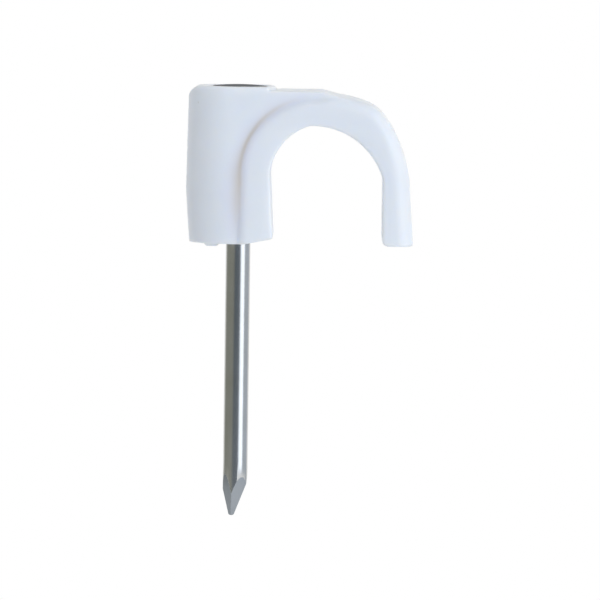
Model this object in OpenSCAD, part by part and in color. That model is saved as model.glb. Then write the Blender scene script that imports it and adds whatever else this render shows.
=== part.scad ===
// Nail-in cable clip: a moulded hook with a nail through its boss.
// The origin is where the nail's axis meets the wall. +Z leaves the wall, +X runs from the
// boss to the free leg, and the cable runs along Y.

/* [Opening] */
// Clear width between the two legs
opening_w = 9.1; // [7:0.02:12]
// Clear height from the wall to the crown of the opening
opening_h = 9.65; // [8.5:0.05:13]
// From the root leg to the highest point of the free side's arc
crown_run = 3.43; // [3:0.01:4]
// Radius of the root side's arc, which runs into its leg
root_arc = 4.43; // [4.2:0.01:4.7]
// Height where the root side's arc leaves its leg
root_spring = 5.4; // [5:0.05:5.8]
// Height where the free side's arc leaves its leg
free_spring = 5.38; // [4.6:0.02:6]
// Slope of the root leg's inner face, in degrees
root_draft = 3; // [0:0.5:4]

/* [Strap] */
// From the nail's axis to the outer face of the root leg, which lies inside the boss
root_x = -0.15; // [-0.5:0.05:0.2]
// Thickness of the root leg where its arc starts
root_t = 2.72; // [2.3:0.02:3.2]
// Thickness of the free leg at the top of its straight stretch
leg_t = 2.16; // [1.6:0.02:2.6]
// Thickness of the strap at the crown
crown_t = 2.55; // [2:0.05:3.2]
// Height of the free leg's straight stretch
leg_h = 5.35; // [3.6:0.05:5.6]
// Outward flare of the free leg's outer face, in degrees
leg_flare = 4; // [0:0.5:6]
// From the root leg's outer face to the top of the crown
root_r = 6.45; // [6:0.05:7]
// Radius of the crown's outer face from its top towards the shoulder
crown_r = 12; // [11:0.1:13]
// Angle on the crown's round where the shoulder turns into the flank, in degrees
shoulder_a = 66; // [63:1:68]
// Rounding of the shoulder
shoulder_r = 2; // [1.5:0.1:3]
// Depth of the strap along the cable
strap_d = 7.9; // [7.6:0.1:9]
// Rounding of the strap's outer edges
edge_r = 1; // [0.4:0.05:1.2]
// From the nail's axis to where the root leg's foot leaves the wall
foot_x = 0.4; // [0.2:0.05:1.2]
// Slope of the root leg's foot, in degrees
foot_slope = 11; // [0:1:20]
// Rounding of the free leg's inner toe
toe_r = 0.5; // [0.1:0.05:0.8]

/* [Boss and web] */
// From the nail's axis to the boss's outer side, at the parting line
boss_reach = 4.3; // [4.1:0.05:4.5]
// Radius of the boss at the parting line
boss_r = 3.75; // [3.65:0.05:3.9]
// Height of the parting line
parting_z = 4.3; // [2:0.1:7]
// Radius lost from the parting line up to the top
taper_top = 0.15; // [0.02:0.01:0.2]
// Radius lost from the parting line down to the wall
taper_base = 0.3; // [0.02:0.01:0.6]
// Rise of the boss's top above the web
boss_step = 0.3; // [0.1:0.02:1]
// Chamfer of the boss's top rim
rim = 0.2; // [0.1:0.05:0.3]
// Rounding of the boss's upper outer corner
corner_r = 1.15; // [0.6:0.05:1.4]
// Thickness of the web along the cable
web_t = 4.4; // [3:0.1:6]
// Rise of the web's top above the strap's crown
web_rise = 0.2; // [0.1:0.02:0.6]
// From the nail's axis to the end of the web's level top
web_reach = 6.7; // [5.4:0.1:7]
// Fall of the web's end into the crown, in degrees
web_fall = 15; // [12:1:30]

/* [Nail] */
// Diameter of the nail's shank
nail_d = 2; // [1.6:0.1:2.4]
// Length from the rim of the head to the tip
nail_l = 35.1; // [25:0.1:45]
// Diameter of the nail's head
head_d = 4.5; // [3.4:0.1:4.6]
// Thickness of the head at its rim
head_t = 1; // [0.6:0.1:1.6]
// Height of the head's dome above its rim
head_dome = 0.12; // [0.05:0.01:0.3]
// Length of the four-sided point
point_l = 3.3; // [2:0.1:5]
// Half width of the blunt tip
tip_w = 0.1; // [0.05:0.01:0.3]
// How far the tip lies off the nail's axis
tip_shift = 0.36; // [0:0.02:0.4]
// Turn of the point about the nail's axis, in degrees
point_turn = 34; // [0:1:89]
// Radial clearance of the shank in its bore
bore_clear = 0.03; // [0.01:0.01:0.1]
// Radial clearance of the head in its seat
seat_clear = 0.05; // [0.02:0.01:0.1]

/* [Hidden] */
$fn = 96;

// Radius of an arc that is level at its top and falls by drop over run
function arc_r(run, drop) = (run * run + drop * drop) / (2 * drop);

// Heights, from the wall upwards
strap_h = opening_h + crown_t;
web_h = strap_h + web_rise;
boss_h = web_h + boss_step;
seat_z = boss_h - head_t;
tip_z = boss_h - nail_l;

// Places along X, from the boss to the free leg
boss_x = boss_r - boss_reach;
root_in_x = root_x + root_t;
arch_x = root_in_x + crown_run;
leg_in_x = root_in_x + opening_w;
strap_x = leg_in_x + leg_t;
free_arc = arc_r(leg_in_x - arch_x, opening_h - free_spring);

// The strap's top, and the corner where the crown's round meets the flank's
crown_x = root_x + root_r;
corner = [crown_x, strap_h - crown_r] + crown_r * [cos(shoulder_a), sin(shoulder_a)];

// Small angle at which faces that run into each other meet, in degrees
blend_a = 3;

// The flank's round passes through that corner and leans into the free leg
leg_top = [strap_x, leg_h];
lean = leg_flare + blend_a;
rise = corner - leg_top;
flank_r = -rise * rise / (2 * rise * [cos(lean), sin(lean)]);
flank_at = leg_top - flank_r * [cos(lean), sin(lean)];

// The shoulder's round lies on the middle line of the corner
flank_a = atan2(corner.y - flank_at.y, corner.x - flank_at.x);
middle_a = (shoulder_a + flank_a) / 2;
shoulder_in = shoulder_r * cos(blend_a) / cos((shoulder_a - flank_a) / 2);
shoulder_at = corner - shoulder_in * [cos(middle_a), sin(middle_a)];

// Reach that takes cuts and trims past the part
beyond = strap_d + opening_w + opening_h;

// Lays an XZ outline along the cable, centred on the part's middle plane
module along_cable(depth) {
    rotate([90, 0, 0])
        linear_extrude(depth, center = true)
            children();
}

// Cross-section of the strap from the crown's middle out to X = r, outer edges rounded
module strap_section(r) {
    half = strap_d / 2;
    translate([0, -half])
        square([r - edge_r, strap_d]);
    translate([0, edge_r - half])
        square([r, strap_d - 2 * edge_r]);
    for (side = [-1, 1])
        translate([r - edge_r, side * (half - edge_r)])
            circle(edge_r);
}

// Disc, or a sector of it, that stands in the strap's plane and has the strap's rounded rim
module rim_disc(r, angle) {
    rotate([90, 0, 0])
        rotate_extrude(angle = angle)
            strap_section(r);
}

// What the shoulder's rounding takes off, in a sector about its centre
module shoulder_cut() {
    translate(shoulder_at)
        difference() {
            polygon([
                [0, 0],
                beyond * [cos(flank_a), sin(flank_a)],
                beyond * [cos(shoulder_a), sin(shoulder_a)]
            ]);
            circle(shoulder_r);
        }
}

// One side of the crown, with all that lies under it
module crown_side(r) {
    translate([0, 0, strap_h - r])
        rim_disc(r, 90);
    translate([0, 0, -beyond])
        linear_extrude(beyond + strap_h - r)
            strap_section(r);
}

// All that lies inside the flank's round, and all below its end
module inside_flank() {
    translate([flank_at.x, 0, flank_at.y])
        rim_disc(flank_r, 360);
    translate([-beyond, -beyond, -beyond])
        cube([2 * beyond, 2 * beyond, beyond + flank_at.y + flank_r * sin(leg_flare)]);
}

// All that lies inside the free leg's flared outer face
module inside_leg() {
    translate([leg_top.x, 0, leg_top.y])
        rotate([0, -leg_flare, 0])
            translate([-beyond, 0, -beyond])
                linear_extrude(3 * beyond)
                    strap_section(beyond);
}

// The strap's outer form, still solid inside: root leg, crown, flank and free leg
module strap_form() {
    difference() {
        intersection() {
            translate([crown_x, 0, 0]) {
                mirror([1, 0, 0])
                    crown_side(root_r);
                crown_side(crown_r);
            }
            inside_flank();
            inside_leg();
            translate([-beyond, -beyond, 0])
                cube(2 * beyond);
        }
        along_cable(beyond)
            shoulder_cut();
    }
}

// All that lies under an arc, down past the wall
module under_arc(at, r) {
    translate(at)
        circle(r);
    translate([at.x - r, at.y - beyond])
        square([2 * r, beyond]);
}

// Corner that is cut away to round the free leg's inner toe
module toe_corner() {
    translate([leg_in_x, 0])
        difference() {
            translate([-toe_r, -toe_r])
                square(2 * toe_r);
            translate([toe_r, toe_r])
                circle(toe_r);
        }
}

// What the slope of the root leg's foot takes off
module foot_cut() {
    polygon([
        [foot_x, 0],
        [arch_x, (arch_x - foot_x) * tan(foot_slope)],
        [arch_x, -beyond],
        [foot_x, -beyond]
    ]);
}

// Outline of the cable's opening, which is open towards the wall
module opening_outline() {
    slope = tan(root_draft);
    root_arc_x = root_in_x + root_arc * cos(blend_a);
    intersection() {
        under_arc([arch_x, opening_h - free_arc], free_arc);
        union() {
            under_arc([root_arc_x, root_spring], root_arc);
            translate([root_arc_x, -beyond])
                square(2 * beyond);
        }
        polygon([
            [root_in_x + slope * (root_spring + beyond), -beyond],
            [root_in_x + slope * (root_spring - beyond), beyond],
            [leg_in_x, beyond],
            [leg_in_x, -beyond]
        ]);
    }
    toe_corner();
    foot_cut();
}

// Half section of the boss, drafted both ways from the parting line
module boss_half_section() {
    top_r = boss_r - taper_top;
    polygon([
        [0, 0],
        [boss_r - taper_base, 0],
        [boss_r, parting_z],
        [top_r, boss_h - rim],
        [top_r - rim, boss_h],
        [0, boss_h]
    ]);
}

// Corner that is cut away to round the boss's upper outer side
module boss_corner() {
    translate([corner_r + taper_top / 2 - boss_reach, boss_h - corner_r])
        difference() {
            translate([-beyond, 0])
                square(beyond);
            circle(corner_r);
        }
}

// Round boss that guides the nail
module boss() {
    difference() {
        translate([boss_x, 0, 0])
            rotate_extrude()
                boss_half_section();
        along_cable(beyond)
            boss_corner();
    }
}

// Plate that ties the boss to the crown
module web() {
    fade_x = crown_x + crown_t;
    along_cable(web_t)
        polygon([
            [boss_x, 0],
            [crown_x, 0],
            [fade_x, web_h - tan(web_fall) * (fade_x - web_reach)],
            [web_reach, web_h],
            [boss_x, web_h]
        ]);
}

// Bore for the shank, with the seat for the head above it
module nail_bore() {
    translate([0, 0, -beyond])
        cylinder(h = seat_z + beyond, d = nail_d + 2 * bore_clear);
    translate([0, 0, seat_z])
        cylinder(h = beyond, d = head_d + 2 * seat_clear);
}

// One moulding: boss, web and hook-shaped strap
module clip_body() {
    color([0.88, 0.9, 0.94])
        difference() {
            union() {
                boss();
                web();
                strap_form();
            }
            along_cable(beyond)
                opening_outline();
            nail_bore();
        }
}

// Wedge that leaves two facing flats of the point, with its blunt edge at the tip
module point_wedge(shift) {
    flare = nail_l / point_l;
    left = shift - tip_w;
    right = shift + tip_w;
    along_cable(beyond)
        polygon([
            [left, 0],
            [right, 0],
            [right + (nail_d / 2 - right) * flare, nail_l],
            [left - (nail_d / 2 + left) * flare, nail_l]
        ]);
}

// Nail with a domed flat head, a round shank and a four-sided point
module nail() {
    dome_r = arc_r(head_d / 2, head_dome);
    color([0.62, 0.64, 0.66]) {
        translate([0, 0, seat_z])
            rotate_extrude()
                intersection() {
                    square([head_d / 2, head_t + head_dome]);
                    translate([0, head_t + head_dome - dome_r])
                        circle(dome_r, $fn = 720);
                }
        translate([0, 0, tip_z])
            intersection() {
                cylinder(h = nail_l - head_t / 2, d = nail_d);
                rotate([0, 0, point_turn])
                    point_wedge(-tip_shift);
                rotate([0, 0, point_turn + 90])
                    point_wedge(0);
            }
    }
}

clip_body();
nail();
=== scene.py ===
import bpy
import bmesh
import math
from mathutils import Matrix, Vector
from mathutils.kdtree import KDTree


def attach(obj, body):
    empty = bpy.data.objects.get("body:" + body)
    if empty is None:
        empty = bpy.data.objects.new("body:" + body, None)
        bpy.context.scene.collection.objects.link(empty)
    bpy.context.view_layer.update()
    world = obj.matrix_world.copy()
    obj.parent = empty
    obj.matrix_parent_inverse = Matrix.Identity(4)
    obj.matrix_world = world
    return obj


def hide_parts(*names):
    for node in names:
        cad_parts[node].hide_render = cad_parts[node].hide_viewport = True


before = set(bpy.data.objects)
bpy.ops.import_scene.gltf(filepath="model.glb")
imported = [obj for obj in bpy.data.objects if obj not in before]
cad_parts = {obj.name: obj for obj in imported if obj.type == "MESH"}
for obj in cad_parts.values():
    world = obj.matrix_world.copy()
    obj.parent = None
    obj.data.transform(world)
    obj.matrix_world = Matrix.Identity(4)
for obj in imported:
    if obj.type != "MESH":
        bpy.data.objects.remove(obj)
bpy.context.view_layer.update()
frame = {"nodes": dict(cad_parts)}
print("frame loaded:", ", ".join(frame["nodes"]))

mm = 0.001  # pieces are drawn in millimetres and scaled to metres at the end
weld = 1e-4  # doubles nearer than this are merged
white = (1, 1, 1, 1)
scene = bpy.context.scene
scene.view_settings.view_transform = "Standard"


# Shader sockets with operators

class Wire:
    def __init__(self, socket):
        self.socket = socket

    # any node: its type, its settings first, then the values or links of its inputs
    @staticmethod
    def node(tree, kind, settings, inputs, output=0):
        made = tree.nodes.new(kind)
        for key, value in settings.items():
            if key == "stops":
                ramp = made.color_ramp
                while len(ramp.elements) < len(value):
                    ramp.elements.new(0.5)
                for stop, (place, colour) in zip(ramp.elements, value):
                    stop.position = place
                    stop.color = (*colour, 1)
            else:
                setattr(made, key, value)
        for key, value in inputs.items():
            if isinstance(value, Wire):
                tree.links.new(value.socket, made.inputs[key])
            else:
                made.inputs[key].default_value = value
        return Wire(made.outputs[output]) if made.outputs else made

    def math(self, operation, first, second=0.0, clamp=False):
        settings = {"operation": operation, "use_clamp": clamp}
        return Wire.node(self.socket.id_data, "ShaderNodeMath", settings, {0: first, 1: second})

    def __add__(self, other):
        return self.math("ADD", self, other)

    def __radd__(self, other):
        return self.math("ADD", other, self)

    def __sub__(self, other):
        return self.math("SUBTRACT", self, other)

    def __rsub__(self, other):
        return self.math("SUBTRACT", other, self)

    def __mul__(self, other):
        return self.math("MULTIPLY", self, other)

    def __rmul__(self, other):
        return self.math("MULTIPLY", other, self)

    def limited(self):
        return self.math("ADD", self, 0.0, clamp=True)


def newTree(name):
    material = bpy.data.materials.new(name)
    material.use_nodes = True
    material.node_tree.nodes.clear()
    return material, material.node_tree


def closeTree(tree, shader):
    Wire.node(tree, "ShaderNodeOutputMaterial", {}, {"Surface": shader})


def objectCoords(tree):
    return Wire.node(tree, "ShaderNodeTexCoord", {}, {}, output="Object")


def blendColours(tree, factor, first, second):
    settings = {"data_type": "RGBA", "blend_type": "MIX"}
    return Wire.node(tree, "ShaderNodeMix", settings, {"Factor": factor, 6: first, 7: second}, output=2)


def blendShaders(tree, factor, first, second):
    return Wire.node(tree, "ShaderNodeMixShader", {}, {0: factor, 1: first, 2: second})


def noise(tree, coords, scale, detail=3.0, rough=0.5, stretch=(1, 1, 1)):
    placed = Wire.node(tree, "ShaderNodeMapping", {}, {"Vector": coords, "Scale": stretch})
    inputs = {"Vector": placed, "Scale": scale, "Detail": detail, "Roughness": rough}
    return Wire.node(tree, "ShaderNodeTexNoise", {"noise_dimensions": "3D"}, inputs)


# Numbers and places

def mixed(a, b, t):
    return a + (b - a) * t


def eased(t):
    t = min(max(t, 0), 1)
    return t * t * (3 - 2 * t)


def onArc(centre, r, degrees):
    a = math.radians(degrees)
    return Vector((centre[0] + r * math.cos(a), centre[1] + r * math.sin(a)))


def angleOf(line):
    return math.degrees(math.atan2(line.y, line.x))


# place at a distance from the aim, looking back at it; azimuth 0 is in front
def lookingAt(aim, azimuth, elevation, distance):
    a, e = math.radians(azimuth), math.radians(elevation)
    back = Vector((math.sin(a) * math.cos(e), -math.cos(a) * math.cos(e), math.sin(e)))
    turn = (-back).to_track_quat("-Z", "Y").to_matrix().to_4x4()
    return Matrix.Translation(Vector(aim) + back * distance) @ turn


# Mesh helpers

def pieceFrom(bm, name, scale=mm):
    bmesh.ops.scale(bm, vec=(scale, scale, scale), verts=bm.verts)
    mesh = bpy.data.meshes.new(name)
    bm.to_mesh(mesh)
    bm.free()
    piece = bpy.data.objects.new(name, mesh)
    scene.collection.objects.link(piece)
    return piece


def bakeModifiers(piece):
    graph = bpy.context.evaluated_depsgraph_get()
    mesh = bpy.data.meshes.new_from_object(piece.evaluated_get(graph))
    piece.modifiers.clear()
    old, piece.data = piece.data, mesh
    bpy.data.meshes.remove(old)


def combine(piece, tool, operation):
    cut = piece.modifiers.new(operation.lower(), "BOOLEAN")
    cut.object, cut.operation, cut.solver = tool, operation, "EXACT"
    bakeModifiers(piece)
    bpy.data.objects.remove(tool)


# chain of edges in the XZ plane, drawn from vertex to vertex
def startAt(x, z):
    bm = bmesh.new()
    return bm, bm.verts.new((x, 0, z))


def drawThrough(bm, vert, points):
    for x, z in points:
        vert = bmesh.ops.extrude_vert_indiv(bm, verts=[vert])["verts"][0]
        vert.co = (x, 0, z)
    return vert


def drawArc(bm, vert, x, z, degrees, steps):
    made = bmesh.ops.spin(bm, geom=[vert], cent=(x, 0, z), axis=(0, 1, 0),
                          angle=math.radians(degrees), steps=steps)["geom_last"]
    return next(g for g in made if isinstance(g, bmesh.types.BMVert))


# closes the drawn chain and gives it depth along the cable
def slabFrom(bm, depth, name):
    bmesh.ops.remove_doubles(bm, verts=bm.verts, dist=weld)
    ends = [v for v in bm.verts if len(v.link_edges) == 1]
    if len(ends) == 2:
        bm.edges.new(ends)
    face = bmesh.ops.contextual_create(bm, geom=bm.edges[:])["faces"]
    made = bmesh.ops.extrude_face_region(bm, geom=face)["geom"]
    far = [v for v in made if isinstance(v, bmesh.types.BMVert)]
    bmesh.ops.translate(bm, vec=(0, depth, 0), verts=far)
    bmesh.ops.translate(bm, vec=(0, -depth / 2, 0), verts=bm.verts)
    bmesh.ops.recalc_face_normals(bm, faces=bm.faces)
    return pieceFrom(bm, name, 1)


# spins the drawn chain once round the vertical axis
def spinRound(bm, steps):
    bmesh.ops.spin(bm, geom=bm.verts[:] + bm.edges[:], cent=(0, 0, 0), axis=(0, 0, 1),
                   angle=math.radians(360), steps=steps, use_merge=True)
    bmesh.ops.remove_doubles(bm, verts=bm.verts, dist=weld)


def turnedFrom(bm, x, steps, name):
    spinRound(bm, steps)
    bmesh.ops.translate(bm, vec=(x, 0, 0), verts=bm.verts)
    bmesh.ops.recalc_face_normals(bm, faces=bm.faces)
    return pieceFrom(bm, name, 1)


# Camera

shot = {"azimuth": 0.4, "elevation": 4.5, "roll": 0.8, "distance": 0.4, "across": 0.0489,
        "aim": (0.0051, 0.0, -0.0047), "sensor": 36.0, "near": 0.01, "far": 20.0}


def makeCamera():
    data = bpy.data.cameras.new("camera")
    data.sensor_width = shot["sensor"]
    data.lens = shot["sensor"] * shot["distance"] / shot["across"]
    data.clip_start, data.clip_end = shot["near"], shot["far"]
    camera = bpy.data.objects.new("camera", data)
    scene.collection.objects.link(camera)
    place = lookingAt(shot["aim"], shot["azimuth"], shot["elevation"], shot["distance"])
    camera.matrix_world = place @ Matrix.Rotation(math.radians(shot["roll"]), 4, "Z")
    scene.camera = camera


makeCamera()
print("camera placed")


# Clip

clip = {
    # strap: depth along the cable, root leg and its foot
    "halfDepth": 3.95, "crowned": 0.04, "ridge": 0.3,
    "rootX": -0.15, "rootFoot": 2.85, "rootIn": 2.57, "rootSpring": 5.4, "rootArc": 4.43,
    "footX": 0.4, "footSlope": 11.0,
    # crown, which sinks a little under the web, and its shoulder, with angles in degrees
    "crownTop": (6.3, 12.2), "rootR": 6.45, "crownR": 12.0,
    "crownSink": 0.25, "sinkFrom": 0.3, "sinkOver": 0.35, "sinkRun": 1.5,
    "shoulder": 66.0, "shoulderIn": 4.0, "shoulderOut": 5.0, "crownShare": 0.36, "shoulderShare": 0.18,
    # opening and free leg
    "archTop": (6.0, 9.65), "legIn": 11.67, "freeSpring": 5.38,
    "legTop": (13.83, 5.35), "legFoot": 14.2, "lean": 7.0, "toeR": 0.5,
    # stations along the strap, and its rounded edges, of which the outer ones widen on the free leg
    "rootSteps": 12, "riseSteps": 30, "flankSteps": 40, "legSteps": 24, "underTo": 64,
    "outerEdge": 1.0, "outerSegments": 12, "legEdge": 1.3, "legEdgeFrom": 60, "legEdgeOver": 20,
    "innerEdge": 0.15, "innerSegments": 3,
    # boss with its flat cheeks, and the web
    "bossX": -0.55, "bossBase": 3.45, "bossMid": 3.75, "bossTop": 3.52, "bossLean": 0.08,
    "partingZ": 4.3, "bossH": 12.7, "rimR": 0.12, "cornerR": 1.15, "cheekX": 2.89, "cheekR": 10.9,
    "webHalf": 3.55, "webFoot": 6.0, "webH": 12.4, "webX": 6.7, "webEnd": 8.8, "webFall": 15.0,
    # stub of the gate under the base
    "gateX": -2.1, "gateY": -2.2, "gateR": 0.65, "gateH": 0.22, "gateTaper": 0.15,
    "gateNeck": 0.1, "gateIn": 1.0,
    # bore and seat of the nail, and how far a cutting tool reaches past the piece
    "boreR": 1.04, "seatR": 2.33, "seatZ": 11.7, "past": 2.0,
    # mesh, and the groove where the strap leaves the boss
    "voxel": 0.104, "pull": 0.5, "smoothing": 3, "faceY": 1.6,
    "grooveIn": 0.25, "grooveReach": 0.4, "grooveGain": 1.3, "grooveSmoothing": 4,
    "grooveEnd": 85, "grooveFade": 65.0, "grooveSteps": 100,
    # end of the cheeks, which runs out into the web
    "cheekEndX": 2.35, "cheekEndW": 0.9, "cheekEndY": 2.9, "cheekEndZ": (9.0, 12.25),
    "cheekGain": 1.5, "cheekClear": 0.5, "cheekSmoothing": 40,
    # painted shade in the groove, as share and width, and a band of painted shadow on the boss beside the
    # root leg
    "shadeLine": (0.65, 0.17), "shadeHaze": (0.35, 0.55), "shadeFoot": -0.8, "shadeRise": 6.5,
    "bossShadow": (0.5, 0.85), "bossShadowFoot": -0.5, "bossShadowTop": 5.0, "bossShadowFade": 4.0, "bossShadowSide": 0.3,
}


# arc that is level at its top and passes through a lower point: centre, radius, angle of that point
def archTo(top, x, z):
    run, drop = x - top[0], top[1] - z
    r = (run * run + drop * drop) / (2 * drop)
    return (top[0], top[1] - r), r, math.degrees(math.atan2(z - top[1] + r, run))


# outer line of the crown's free side: crown, rounded shoulder, flank
def flankLine(count):
    c = clip
    crownMid = (c["crownTop"][0], c["crownTop"][1] - c["crownR"])
    corner = onArc(crownMid, c["crownR"], c["shoulder"])
    legTop = Vector(c["legTop"])
    lean = onArc((0, 0), 1, c["lean"])
    rise = corner - legTop
    flankR = -rise.length_squared / (2 * rise.dot(lean))
    flankMid = legTop - lean * flankR
    crownTo = c["shoulder"] + c["shoulderIn"]
    flankFrom = angleOf(corner - flankMid) - c["shoulderOut"]
    start, end = onArc(crownMid, c["crownR"], crownTo), onArc(flankMid, flankR, flankFrom)
    turnAt = c["crownShare"] + c["shoulderShare"]
    line = []
    for i in range(count):
        t = i / count
        if t < c["crownShare"]:
            point = onArc(crownMid, c["crownR"], mixed(90, crownTo, t / c["crownShare"]))
            point.y -= c["crownSink"] * (1 - eased((point.x - crownMid[0]) / c["sinkRun"]))
        elif t < turnAt:
            u = (t - c["crownShare"]) / c["shoulderShare"]
            point = start * (1 - u) ** 2 + corner * 2 * u * (1 - u) + end * u * u
        else:
            point = onArc(flankMid, flankR, mixed(flankFrom, c["lean"], (t - turnAt) / (1 - turnAt)))
        line.append(point)
    return line


# stations of the strap from the root foot to the free foot: outer point, inner point
def strapStations():
    c = clip
    stations = []
    crownMid = (c["crownTop"][0], c["crownTop"][1] - c["rootR"])
    freeMid, freeArc, freeTo = archTo(c["archTop"], c["legIn"], c["freeSpring"])
    rootMid = (c["rootIn"] + c["rootArc"], c["rootSpring"])
    # the two arcs of the opening cross near the crown
    across = Vector(freeMid) - Vector(rootMid)
    inset = (across.length_squared + freeArc ** 2 - c["rootArc"] ** 2) / (2 * across.length)
    crossing = Vector(freeMid) - across.normalized() * inset
    crossing -= across.orthogonal().normalized() * math.sqrt(freeArc ** 2 - inset ** 2)
    rootTo = angleOf(crossing - Vector(rootMid))
    freeFrom = angleOf(crossing - Vector(freeMid))
    for i in range(c["rootSteps"]):  # root leg
        t = i / c["rootSteps"]
        stations.append((Vector((c["rootX"], crownMid[1] * t)),
                         Vector((mixed(c["rootFoot"], c["rootIn"], t), c["rootSpring"] * t))))
    for i in range(c["riseSteps"]):  # root side of the crown
        t = i / c["riseSteps"]
        r = c["rootR"] - c["crownSink"] * eased((t - c["sinkFrom"]) / c["sinkOver"])
        stations.append((onArc(crownMid, r, mixed(180, 90, t)),
                         onArc(rootMid, c["rootArc"], mixed(180, rootTo, t))))
    for i, outer in enumerate(flankLine(c["flankSteps"])):  # free side of the crown
        stations.append((outer, onArc(freeMid, freeArc, mixed(freeFrom, freeTo, i / c["flankSteps"]))))
    for i in range(c["legSteps"] + 1):  # free leg, with its rounded inner toe
        t = 1 - (1 - i / c["legSteps"]) ** 2
        z = mixed(c["freeSpring"], 0, t)
        toe = max(c["toeR"] - z, 0)
        stations.append((Vector((mixed(c["legTop"][0], c["legFoot"], t), mixed(c["legTop"][1], 0, t))),
                         Vector((c["legIn"] + c["toeR"] - math.sqrt(c["toeR"] ** 2 - toe ** 2), z))))
    return stations


# the strap is lofted through cross-sections: slightly crowned faces with their corners rounded
def buildStrap(stations):
    c = clip
    bm = bmesh.new()
    order = bm.faces.layers.int.new("order")
    half, low = c["halfDepth"], c["halfDepth"] - c["crowned"]
    for i, (outer, inner) in enumerate(stations):
        ridge = inner.lerp(outer, c["ridge"])
        outerEdge = mixed(c["outerEdge"], c["legEdge"], eased((i - c["legEdgeFrom"]) / c["legEdgeOver"]))
        corners = [bm.verts.new((p.x, y, p.y)) for p, y in (
            (inner, -low), (ridge, -half), (outer, -low), (outer, low), (ridge, half), (inner, low))]
        bm.faces.new(corners)
        for pair, offset, segments in (
                (corners[2:4], outerEdge, c["outerSegments"]),
                ([corners[0], corners[5]], c["innerEdge"], c["innerSegments"])):
            bmesh.ops.bevel(bm, geom=pair, affect="VERTICES", offset=offset, segments=segments,
                            profile=0.5, material=-1)
        next(f for f in bm.faces if f[order] == 0)[order] = i + 1
    loops = sorted(bm.faces, key=lambda f: f[order])
    for before, after in zip(loops, loops[1:]):
        bmesh.ops.bridge_loops(bm, edges=[*before.edges, *after.edges])
    bmesh.ops.delete(bm, geom=loops[1:-1], context="FACES_ONLY")
    bmesh.ops.recalc_face_normals(bm, faces=bm.faces)
    return pieceFrom(bm, "strap", 1)


# slab that cuts right through along the cable
def cutterFrom(bm, name):
    return slabFrom(bm, 2 * (clip["halfDepth"] + clip["past"]), name)


# flat cheeks from the boss's middle to a wide round end
def buildCheeks():
    c = clip
    bm, at = startAt(-c["bossBase"], 0)
    drawThrough(bm, at, ((c["bossBase"], 0), (c["bossMid"], c["partingZ"]), (c["bossTop"], c["bossH"]),
                         (-c["bossTop"], c["bossH"]), (-c["bossMid"], c["partingZ"])))
    length = c["cheekX"] - c["bossX"]
    cheeks = slabFrom(bm, length, "cheeks")
    turned = Matrix.Rotation(math.radians(-90), 4, "Z")
    cheeks.data.transform(Matrix.Translation((c["bossX"] + length / 2, 0, 0)) @ turned)
    foot, top = -c["past"], c["bossH"] + c["past"]
    bm, at = startAt(0, foot)
    drawThrough(bm, at, ((c["cheekR"], foot), (c["cheekR"], top), (0, top)))
    combine(cheeks, turnedFrom(bm, c["cheekX"] - c["cheekR"], steps=160, name="cheekEnd"), "INTERSECT")
    return cheeks


# round boss, drafted both ways from its parting line, leaning a little above it
def buildBoss():
    c = clip
    rimZ = c["bossH"] - c["rimR"]
    bm, at = startAt(0, 0)
    at = drawThrough(bm, at, ((c["bossBase"], 0), (c["bossMid"], c["partingZ"]), (c["bossTop"], rimZ)))
    at = drawArc(bm, at, c["bossTop"] - c["rimR"], rimZ, degrees=-90, steps=6)
    drawThrough(bm, at, ((0, c["bossH"]),))
    boss = turnedFrom(bm, c["bossX"], steps=128, name="boss")
    for vert in boss.data.vertices:
        vert.co.x -= c["bossLean"] * max(vert.co.z - c["partingZ"], 0) / (c["bossH"] - c["partingZ"])
    combine(boss, buildCheeks(), "UNION")
    # upper outer corner
    r = c["cornerR"]
    reach = c["bossX"] - (c["bossMid"] + c["bossTop"] + c["bossLean"]) / 2
    away, top = reach - c["past"], c["bossH"] + c["past"]
    bm, at = startAt(reach + r, c["bossH"])
    at = drawArc(bm, at, reach + r, c["bossH"] - r, degrees=-90, steps=16)
    drawThrough(bm, at, ((away, c["bossH"] - r), (away, top), (reach + r, top)))
    combine(boss, cutterFrom(bm, "corner"), "DIFFERENCE")
    return boss


# plate from the boss into the crown
def buildWeb():
    c = clip
    end = c["webEnd"]
    endZ = c["webH"] - math.tan(math.radians(c["webFall"])) * (end - c["webX"])
    bm, at = startAt(c["bossX"], c["webFoot"])
    drawThrough(bm, at, ((end, c["webFoot"]), (end, endZ), (c["webX"], c["webH"]), (c["bossX"], c["webH"])))
    return slabFrom(bm, 2 * c["webHalf"], "web")


# what lies below the strap's middle line, where the boss and the web end inside the strap
def buildUnder(stations):
    c = clip
    middles = [outer.lerp(inner, 0.5) for outer, inner in stations[:c["underTo"]:2]]
    bm, at = startAt(middles[0].x, -c["past"])
    drawThrough(bm, at, [*middles, (middles[-1].x, -c["past"])])
    return cutterFrom(bm, "under")


# what the slope of the root leg's foot takes off
def buildFoot():
    c = clip
    end = c["archTop"][0]
    endZ = math.tan(math.radians(c["footSlope"])) * (end - c["footX"])
    bm, at = startAt(c["footX"], 0)
    drawThrough(bm, at, ((end, endZ), (end, -c["past"]), (c["footX"], -c["past"])))
    return cutterFrom(bm, "foot")


def buildGate():
    c = clip
    bm, at = startAt(0, c["gateIn"])
    drawThrough(bm, at, ((c["gateR"], c["gateIn"]), (c["gateR"], c["gateNeck"]),
                         (c["gateR"] - c["gateTaper"], -c["gateH"]), (0, -c["gateH"])))
    gate = turnedFrom(bm, c["gateX"], steps=32, name="gate")
    gate.data.transform(Matrix.Translation((0, c["gateY"], 0)))
    return gate


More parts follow.
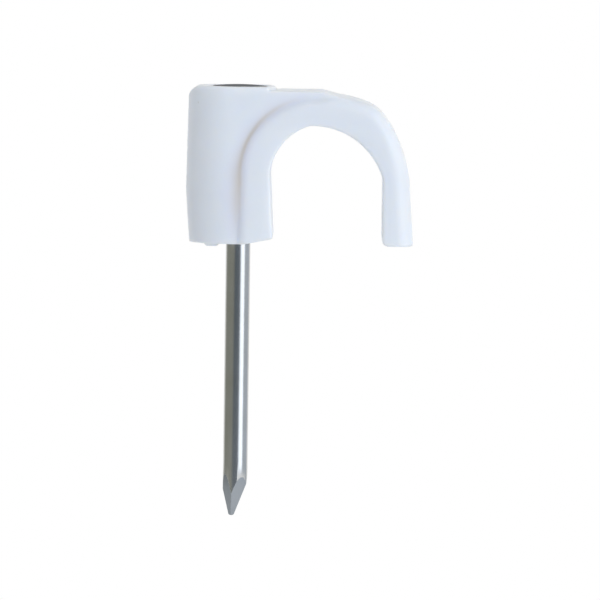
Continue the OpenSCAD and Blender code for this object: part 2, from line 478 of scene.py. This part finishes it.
def buildBore():
    c = clip
    foot, top = -c["past"], c["bossH"] + c["past"]
    bm, at = startAt(0, foot)
    drawThrough(bm, at, ((c["boreR"], foot), (c["boreR"], c["seatZ"]), (c["seatR"], c["seatZ"]),
                         (c["seatR"], top), (0, top)))
    return turnedFrom(bm, 0, steps=64, name="bore")


def buildClip():
    stations = strapStations()
    body = buildBoss()
    combine(body, buildWeb(), "UNION")
    combine(body, buildUnder(stations), "DIFFERENCE")
    combine(body, buildStrap(stations), "UNION")
    combine(body, buildFoot(), "DIFFERENCE")
    combine(body, buildGate(), "UNION")
    combine(body, buildBore(), "DIFFERENCE")
    return body


# groove where the strap leaves the boss and the web, with the share of painted shade along it
def groovePath():
    c = clip
    mid = (c["crownTop"][0], c["crownTop"][1] - c["rootR"])
    heights = [mid[1] * i / c["grooveSteps"] for i in range(c["grooveSteps"])]
    path = [(Vector((c["rootX"] + c["grooveIn"], z)), eased((z - c["shadeFoot"]) / c["shadeRise"]))
            for z in heights]
    path += [(onArc(mid, c["rootR"] - c["grooveIn"], a), eased((a - c["grooveEnd"]) / c["grooveFade"]))
             for a in range(180, c["grooveEnd"] - 1, -1)]
    return path


def finderOf(path):
    near = KDTree(len(path))
    for i, (point, _) in enumerate(path):
        near.insert((point.x, 0, point.y), i)
    near.balance()
    return near


def addSmooth(piece, name, rounds, group=""):
    soften = piece.modifiers.new(name, "SMOOTH")
    soften.factor, soften.iterations, soften.vertex_group = clip["pull"], rounds, group


# even faces all over, with every edge a little rounded
def evenOut(body):
    even = body.modifiers.new("even", "REMESH")
    even.mode, even.voxel_size, even.adaptivity = "VOXEL", clip["voxel"], 0
    addSmooth(body, "soften", clip["smoothing"])
    bakeModifiers(body)


# the groove and the end of the cheeks are softened more than the rest
def softenLines(body, near):
    c = clip
    groove = body.vertex_groups.new(name="groove")
    cheekEnd = body.vertex_groups.new(name="cheekEnd")
    cheekLow, cheekHigh = c["cheekEndZ"]
    for vert in body.data.vertices:
        x, y, z = vert.co
        gap = near.find((x, 0, z))[2]
        if abs(y) > c["faceY"] and gap < c["grooveReach"]:
            groove.add([vert.index], eased(c["grooveGain"] * (1 - gap / c["grooveReach"])), "REPLACE")
        reach = abs(x - c["cheekEndX"]) / c["cheekEndW"]
        if abs(y) > c["cheekEndY"] and cheekLow < z < cheekHigh and reach < 1:
            clear = eased((gap - c["cheekClear"]) / c["cheekClear"])
            cheekEnd.add([vert.index], eased(c["cheekGain"] * (1 - reach)) * clear, "REPLACE")
    addSmooth(body, "softenGroove", c["grooveSmoothing"], groove.name)
    addSmooth(body, "softenCheeks", c["cheekSmoothing"], cheekEnd.name)
    bakeModifiers(body)


def faded(kind, gap):
    share, width = clip[kind]
    return share * math.exp(-(gap / width) ** 2)


# paints shade into a vertex attribute: a darker line along the groove, and a shadow on the boss beside the
# root leg
def paintShade(body, path, near):
    c = clip
    dust = body.data.attributes.new("dust", "FLOAT", "POINT")
    for vert in body.data.vertices:
        x, y, z = vert.co
        if abs(y) > c["faceY"]:
            spot, i, gap = near.find((x, 0, z))
            grooveShade = path[i][1] * (faded("shadeLine", gap) + faded("shadeHaze", gap))
            # painted shadow: a wider, darker band on the boss beside the root leg, where the strap keeps
            # the light off it
            foot = eased((z - c["bossShadowFoot"]) / c["bossShadowFade"])
            top = 1 - eased((z - c["bossShadowTop"]) / c["bossShadowFade"])
            side = eased((spot.x - x) / c["bossShadowSide"])
            dust.data[vert.index].value = min(grooveShade + foot * top * side * faded("bossShadow", gap), 1)


body = buildClip()
print("clip drawn:", len(body.data.polygons), "faces")
path = groovePath()
near = finderOf(path)
evenOut(body)
softenLines(body, near)
paintShade(body, path, near)
body.data.transform(Matrix.Scale(mm, 4))
body.name = "clip"
for polygon in body.data.polygons:
    polygon.use_smooth = True
print("clip evened out:", len(body.data.polygons), "faces")
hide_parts("clip_body")
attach(body, "root")

plastic = {
    "shade": (0.765, 0.82, 0.945, 1), "light": (0.815, 0.865, 0.972, 1), "cloudScale": 240.0,
    "grainScale": 5200.0, "grainStrength": 0.12, "grainDepth": 0.00002,
    # specks: one cell in six has one
    "speck": (0.45, 0.43, 0.40, 1), "speckScale": 900.0, "speckR": 0.13, "speckSharp": 12.0,
    "speckFrom": 0.84, "speckGain": 8.0, "speckCover": 0.3,
    # colour of the painted shade in the groove and of the painted shadow beside the root leg
    "dust": (0.60, 0.56, 0.50, 1), "shadeCover": 0.75,
    "gloss": 0.27, "cloudDull": 0.09, "grainDull": 0.05, "shadeDull": 0.3,
    "scatter": (1.0, 0.9, 0.8), "scatterDepth": 0.0006,
}


def clipPlastic():
    p = plastic
    material, tree = newTree("whitePolyethylene")
    coords = objectCoords(tree)
    dust = Wire.node(tree, "ShaderNodeAttribute", {"attribute_name": "dust"}, {}, output="Fac")
    cloud = noise(tree, coords, p["cloudScale"])
    grain = noise(tree, coords, p["grainScale"], detail=2.0)
    colour = blendColours(tree, cloud, p["shade"], p["light"])
    cells = {"Vector": coords, "Scale": p["speckScale"]}
    spread = Wire.node(tree, "ShaderNodeTexVoronoi", {"feature": "F1"}, cells)
    chance = Wire.node(tree, "ShaderNodeTexVoronoi", {"feature": "F1"}, cells, output="Color")
    chance = Wire.node(tree, "ShaderNodeSeparateColor", {}, {"Color": chance})
    dot = ((p["speckR"] - spread) * p["speckSharp"]).limited()
    speck = dot * ((chance - p["speckFrom"]) * p["speckGain"]).limited()
    colour = blendColours(tree, speck * p["speckCover"], colour, p["speck"])
    # painted shade: the groove and the strap's shadow on the boss are darkened here, and made rougher below
    colour = blendColours(tree, dust * p["shadeCover"], colour, p["dust"])
    rough = p["gloss"] + cloud * p["cloudDull"] + grain * p["grainDull"] + dust * p["shadeDull"]
    bump = Wire.node(tree, "ShaderNodeBump", {}, {
        "Strength": p["grainStrength"], "Distance": p["grainDepth"], "Height": grain})
    shader = Wire.node(tree, "ShaderNodeBsdfPrincipled", {}, {
        "Base Color": colour, "Roughness": rough, "Normal": bump, "IOR": 1.5, "Subsurface Weight": 1.0,
        "Subsurface Radius": p["scatter"], "Subsurface Scale": p["scatterDepth"]})
    closeTree(tree, shader)
    return material


body.data.materials.clear()
body.data.materials.append(clipPlastic())
print("clip finished")


# Nail

nail = {
    "shankR": 1.0, "rings": 24, "steps": 96, "crease": 28.0,
    "headR": 2.25, "headZ": 11.7, "headT": 1.0, "dome": 0.12, "domeRings": 8,
    "underEdge": 0.08, "topEdge": 0.12, "topTurn": 75.0, "shadedHeadFrom": 0.5,
    # flats of the point: front left, back right, front right, back left
    "tipZ": -22.4, "pointL": (3.4, 4.2, 3.2, 4.2), "turn": 34.0,
    "tipW": 0.14, "tipR": 0.12, "tipShift": 0.36, "tipLevel": 0.001,
}


# half outline of the shank and the head, from the tip up, spun round
def turnNail():
    n = nail
    headTop = n["headZ"] + n["headT"]
    bm, at = startAt(0, n["tipZ"])
    rings = [mixed(n["tipZ"], n["headZ"], i / n["rings"]) for i in range(n["rings"])]
    at = drawThrough(bm, at, [(n["shankR"], z) for z in [*rings, n["headZ"]]])
    at = drawThrough(bm, at, ((n["headR"] - n["underEdge"], n["headZ"]),))
    at = drawArc(bm, at, n["headR"] - n["underEdge"], n["headZ"] + n["underEdge"], degrees=-90, steps=4)
    at = drawThrough(bm, at, ((n["headR"], headTop - n["topEdge"]),))
    at = drawArc(bm, at, n["headR"] - n["topEdge"], headTop - n["topEdge"], degrees=-n["topTurn"], steps=5)
    rimX, rimZ = at.co.x, at.co.z
    for i in range(1, n["domeRings"] + 1):
        left = 1 - i / n["domeRings"]
        at = drawThrough(bm, at, ((rimX * left, mixed(rimZ, headTop + n["dome"], 1 - left ** 2)),))
    spinRound(bm, n["steps"])
    return bm


# cuts one flat, from the edge of the blunt tip up to the shank's side
def cutFlat(bm, turn, tip, side, length):
    spin = Matrix.Rotation(math.radians(turn), 3, "Z")
    slope = Vector((length, 0, tip - nail["shankR"] * side)) * side
    bmesh.ops.bisect_plane(bm, geom=bm.verts[:] + bm.edges[:] + bm.faces[:], clear_outer=True, dist=1e-5,
                           plane_co=spin @ Vector((tip, 0, nail["tipZ"])), plane_no=spin @ slope)
    cut = bmesh.ops.holes_fill(bm, edges=[e for e in bm.edges if e.is_boundary], sides=0)
    for face in cut["faces"]:
        face.material_index = 1


def buildNail():
    n = nail
    bm = turnNail()
    lengths = iter(n["pointL"])
    for turn, middle in ((n["turn"], -n["tipShift"]), (n["turn"] + 90, 0)):
        for side in (-1, 1):
            cutFlat(bm, turn, middle + n["tipW"] * side, side, next(lengths))
    bmesh.ops.remove_doubles(bm, verts=bm.verts, dist=weld)
    # the blunt end is made one face, and its edges are rounded, in the finish of the flats
    ends = [f for f in bm.faces if max(v.co.z for v in f.verts) < n["tipZ"] + n["tipLevel"]]
    blunt = bmesh.ops.dissolve_faces(bm, faces=ends, use_verts=True)["region"][0]
    bmesh.ops.bevel(bm, geom=blunt.edges[:], affect="EDGES", offset=n["tipR"], segments=4,
                    profile=0.5, material=1)
    bmesh.ops.recalc_face_normals(bm, faces=bm.faces)
    return pieceFrom(bm, "masonryNail")


pin = buildNail()
for polygon in pin.data.polygons:
    polygon.use_smooth = True
    # faces of the head above this height take the darker steel, which is painted shade
    if polygon.center.z > (nail["headZ"] + nail["shadedHeadFrom"]) * mm:
        polygon.material_index = 2
pin.data.set_sharp_from_angle(angle=math.radians(nail["crease"]))
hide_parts("nail")
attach(pin, "root")

steel = {"streakScale": 900.0, "streakStretch": (1, 1, 0.06), "streakDull": 0.14, "cloudScale": 420.0,
         "bumpStrength": 0.2, "bumpDepth": 0.00002}
finishes = {  # shank, flats of the point, head
    "zincSteel": {"dark": (0.55, 0.55, 0.51, 1), "light": (0.66, 0.67, 0.68, 1), "dull": 0.16, "edge": 1.0},
    "cutSteel": {"dark": (0.28, 0.31, 0.34, 1), "light": (0.38, 0.41, 0.44, 1), "dull": 0.34, "edge": 0.5},
    # the head's darker colour and weaker bright edge are painted shade, not a finish of its own
    "shadedHeadSteel": {"dark": (0.26, 0.27, 0.28, 1), "light": (0.38, 0.39, 0.4, 1), "dull": 0.5, "edge": 0.3},
}


def nailSteel(name, finish):
    s = steel
    material, tree = newTree(name)
    coords = objectCoords(tree)
    streak = noise(tree, coords, s["streakScale"], detail=4.0, rough=0.6, stretch=s["streakStretch"])
    cloud = noise(tree, coords, s["cloudScale"])
    colour = blendColours(tree, cloud, finish["dark"], finish["light"])
    rough = finish["dull"] + streak * s["streakDull"]
    bump = Wire.node(tree, "ShaderNodeBump", {}, {
        "Strength": s["bumpStrength"], "Distance": s["bumpDepth"], "Height": streak})
    edge = finish["edge"]
    shader = Wire.node(tree, "ShaderNodeBsdfPrincipled", {}, {
        "Base Color": colour, "Roughness": rough, "Metallic": 1.0, "Normal": bump,
        "Specular Tint": (edge, edge, edge, 1)})
    closeTree(tree, shader)
    return material


for name, finish in finishes.items():
    pin.data.materials.append(nailSteel(name, finish))
print("nail finished:", len(pin.data.polygons), "faces")


# Floor, background and lamps

stage = {
    "floorZ": -0.06, "floorR": 0.15, "floorColour": (0.86, 0.87, 0.88, 1), "floorGlow": 1.05,
    "shadowShare": 0.1,  # how much of the floor's shadow shows
    "sky": (1.0, 0.995, 1.0, 1), "skyStrength": 0.6,
    # what metal mirrors: a room that runs from left to right, and white behind the piece
    "room": [(0.0, (0.28, 0.285, 0.25)), (0.2, (0.27, 0.275, 0.245)), (0.3, (0.12, 0.145, 0.17)),
             (0.6, (0.13, 0.155, 0.19)), (0.9, (0.45, 0.5, 0.6)), (1.0, (0.5, 0.55, 0.62))],
    "behindSharp": 3.0, "behindOffset": 1.4,
}
lamps = {
    "key": {"azimuth": 48, "elevation": 10, "distance": 0.5, "size": (0.36, 0.46), "watts": 0.75,
            "colour": (0.9, 0.94, 1.0), "mirrored": True},
    "side": {"azimuth": 100, "elevation": 24, "distance": 0.6, "size": (0.9, 0.5), "watts": 0.7,
             "colour": (1.0, 0.92, 0.76), "mirrored": True},
    "front": {"azimuth": 4, "elevation": 10, "distance": 0.6, "size": (0.3, 0.14), "watts": 0.55,
              "colour": (0.88, 0.92, 1.0), "mirrored": False},
}


# rays from the camera, and rays that metal or glass sends on
def rayKinds(tree):
    camera, glossy, through = [Wire.node(tree, "ShaderNodeLightPath", {}, {}, output=kind) for kind in (
        "Is Camera Ray", "Is Glossy Ray", "Is Transmission Ray")]
    return camera, glossy + through


def makeFloor():
    bm = bmesh.new()
    bmesh.ops.create_circle(bm, cap_ends=True, segments=64, radius=stage["floorR"])
    bmesh.ops.translate(bm, vec=(0, 0, stage["floorZ"]), verts=bm.verts)
    floor = pieceFrom(bm, "floor", 1)
    material, tree = newTree("paleFloor")
    camera, sentOn = rayKinds(tree)
    glow = Wire.node(tree, "ShaderNodeEmission", {}, {"Color": white, "Strength": stage["floorGlow"]})
    pale = Wire.node(tree, "ShaderNodeBsdfDiffuse", {}, {"Color": stage["floorColour"]})
    seen = (camera + sentOn).limited() * (1 - stage["shadowShare"])
    closeTree(tree, blendShaders(tree, seen, pale, glow))
    floor.data.materials.append(material)


def makeWorld():
    world = bpy.data.worlds.new("studio")
    world.use_nodes = True
    tree = world.node_tree
    tree.nodes.clear()
    camera, sentOn = rayKinds(tree)
    coords = Wire.node(tree, "ShaderNodeTexCoord", {}, {}, output="Generated")
    across = Wire.node(tree, "ShaderNodeSeparateXYZ", {}, {"Vector": coords}, output="X")
    behind = Wire.node(tree, "ShaderNodeSeparateXYZ", {}, {"Vector": coords}, output="Y")
    behind = (behind * stage["behindSharp"] - stage["behindOffset"]).limited()
    # the ramp's places run from 0 on the left to 1 on the right
    room = Wire.node(tree, "ShaderNodeValToRGB", {"stops": stage["room"]}, {"Fac": across * 0.5 + 0.5})
    lights = ((white, 1.0), (room, 1.0), (stage["sky"], stage["skyStrength"]))
    plain, room, sky = [Wire.node(tree, "ShaderNodeBackground", {}, {"Color": colour, "Strength": strength})
                        for colour, strength in lights]
    lit = blendShaders(tree, sentOn.limited(), sky, blendShaders(tree, behind, room, plain))
    Wire.node(tree, "ShaderNodeOutputWorld", {}, {"Surface": blendShaders(tree, camera, lit, plain)})
    scene.world = world


def makeLamp(name, lamp):
    data = bpy.data.lights.new(name, "AREA")
    data.shape = "RECTANGLE"
    data.size, data.size_y = lamp["size"]
    data.energy, data.color = lamp["watts"], lamp["colour"]
    made = bpy.data.objects.new(name, data)
    made.visible_glossy = lamp["mirrored"]
    scene.collection.objects.link(made)
    made.matrix_world = lookingAt((0, 0, 0), lamp["azimuth"], lamp["elevation"], lamp["distance"])


makeFloor()
makeWorld()
for name, lamp in lamps.items():
    makeLamp(name, lamp)
print("studio set")
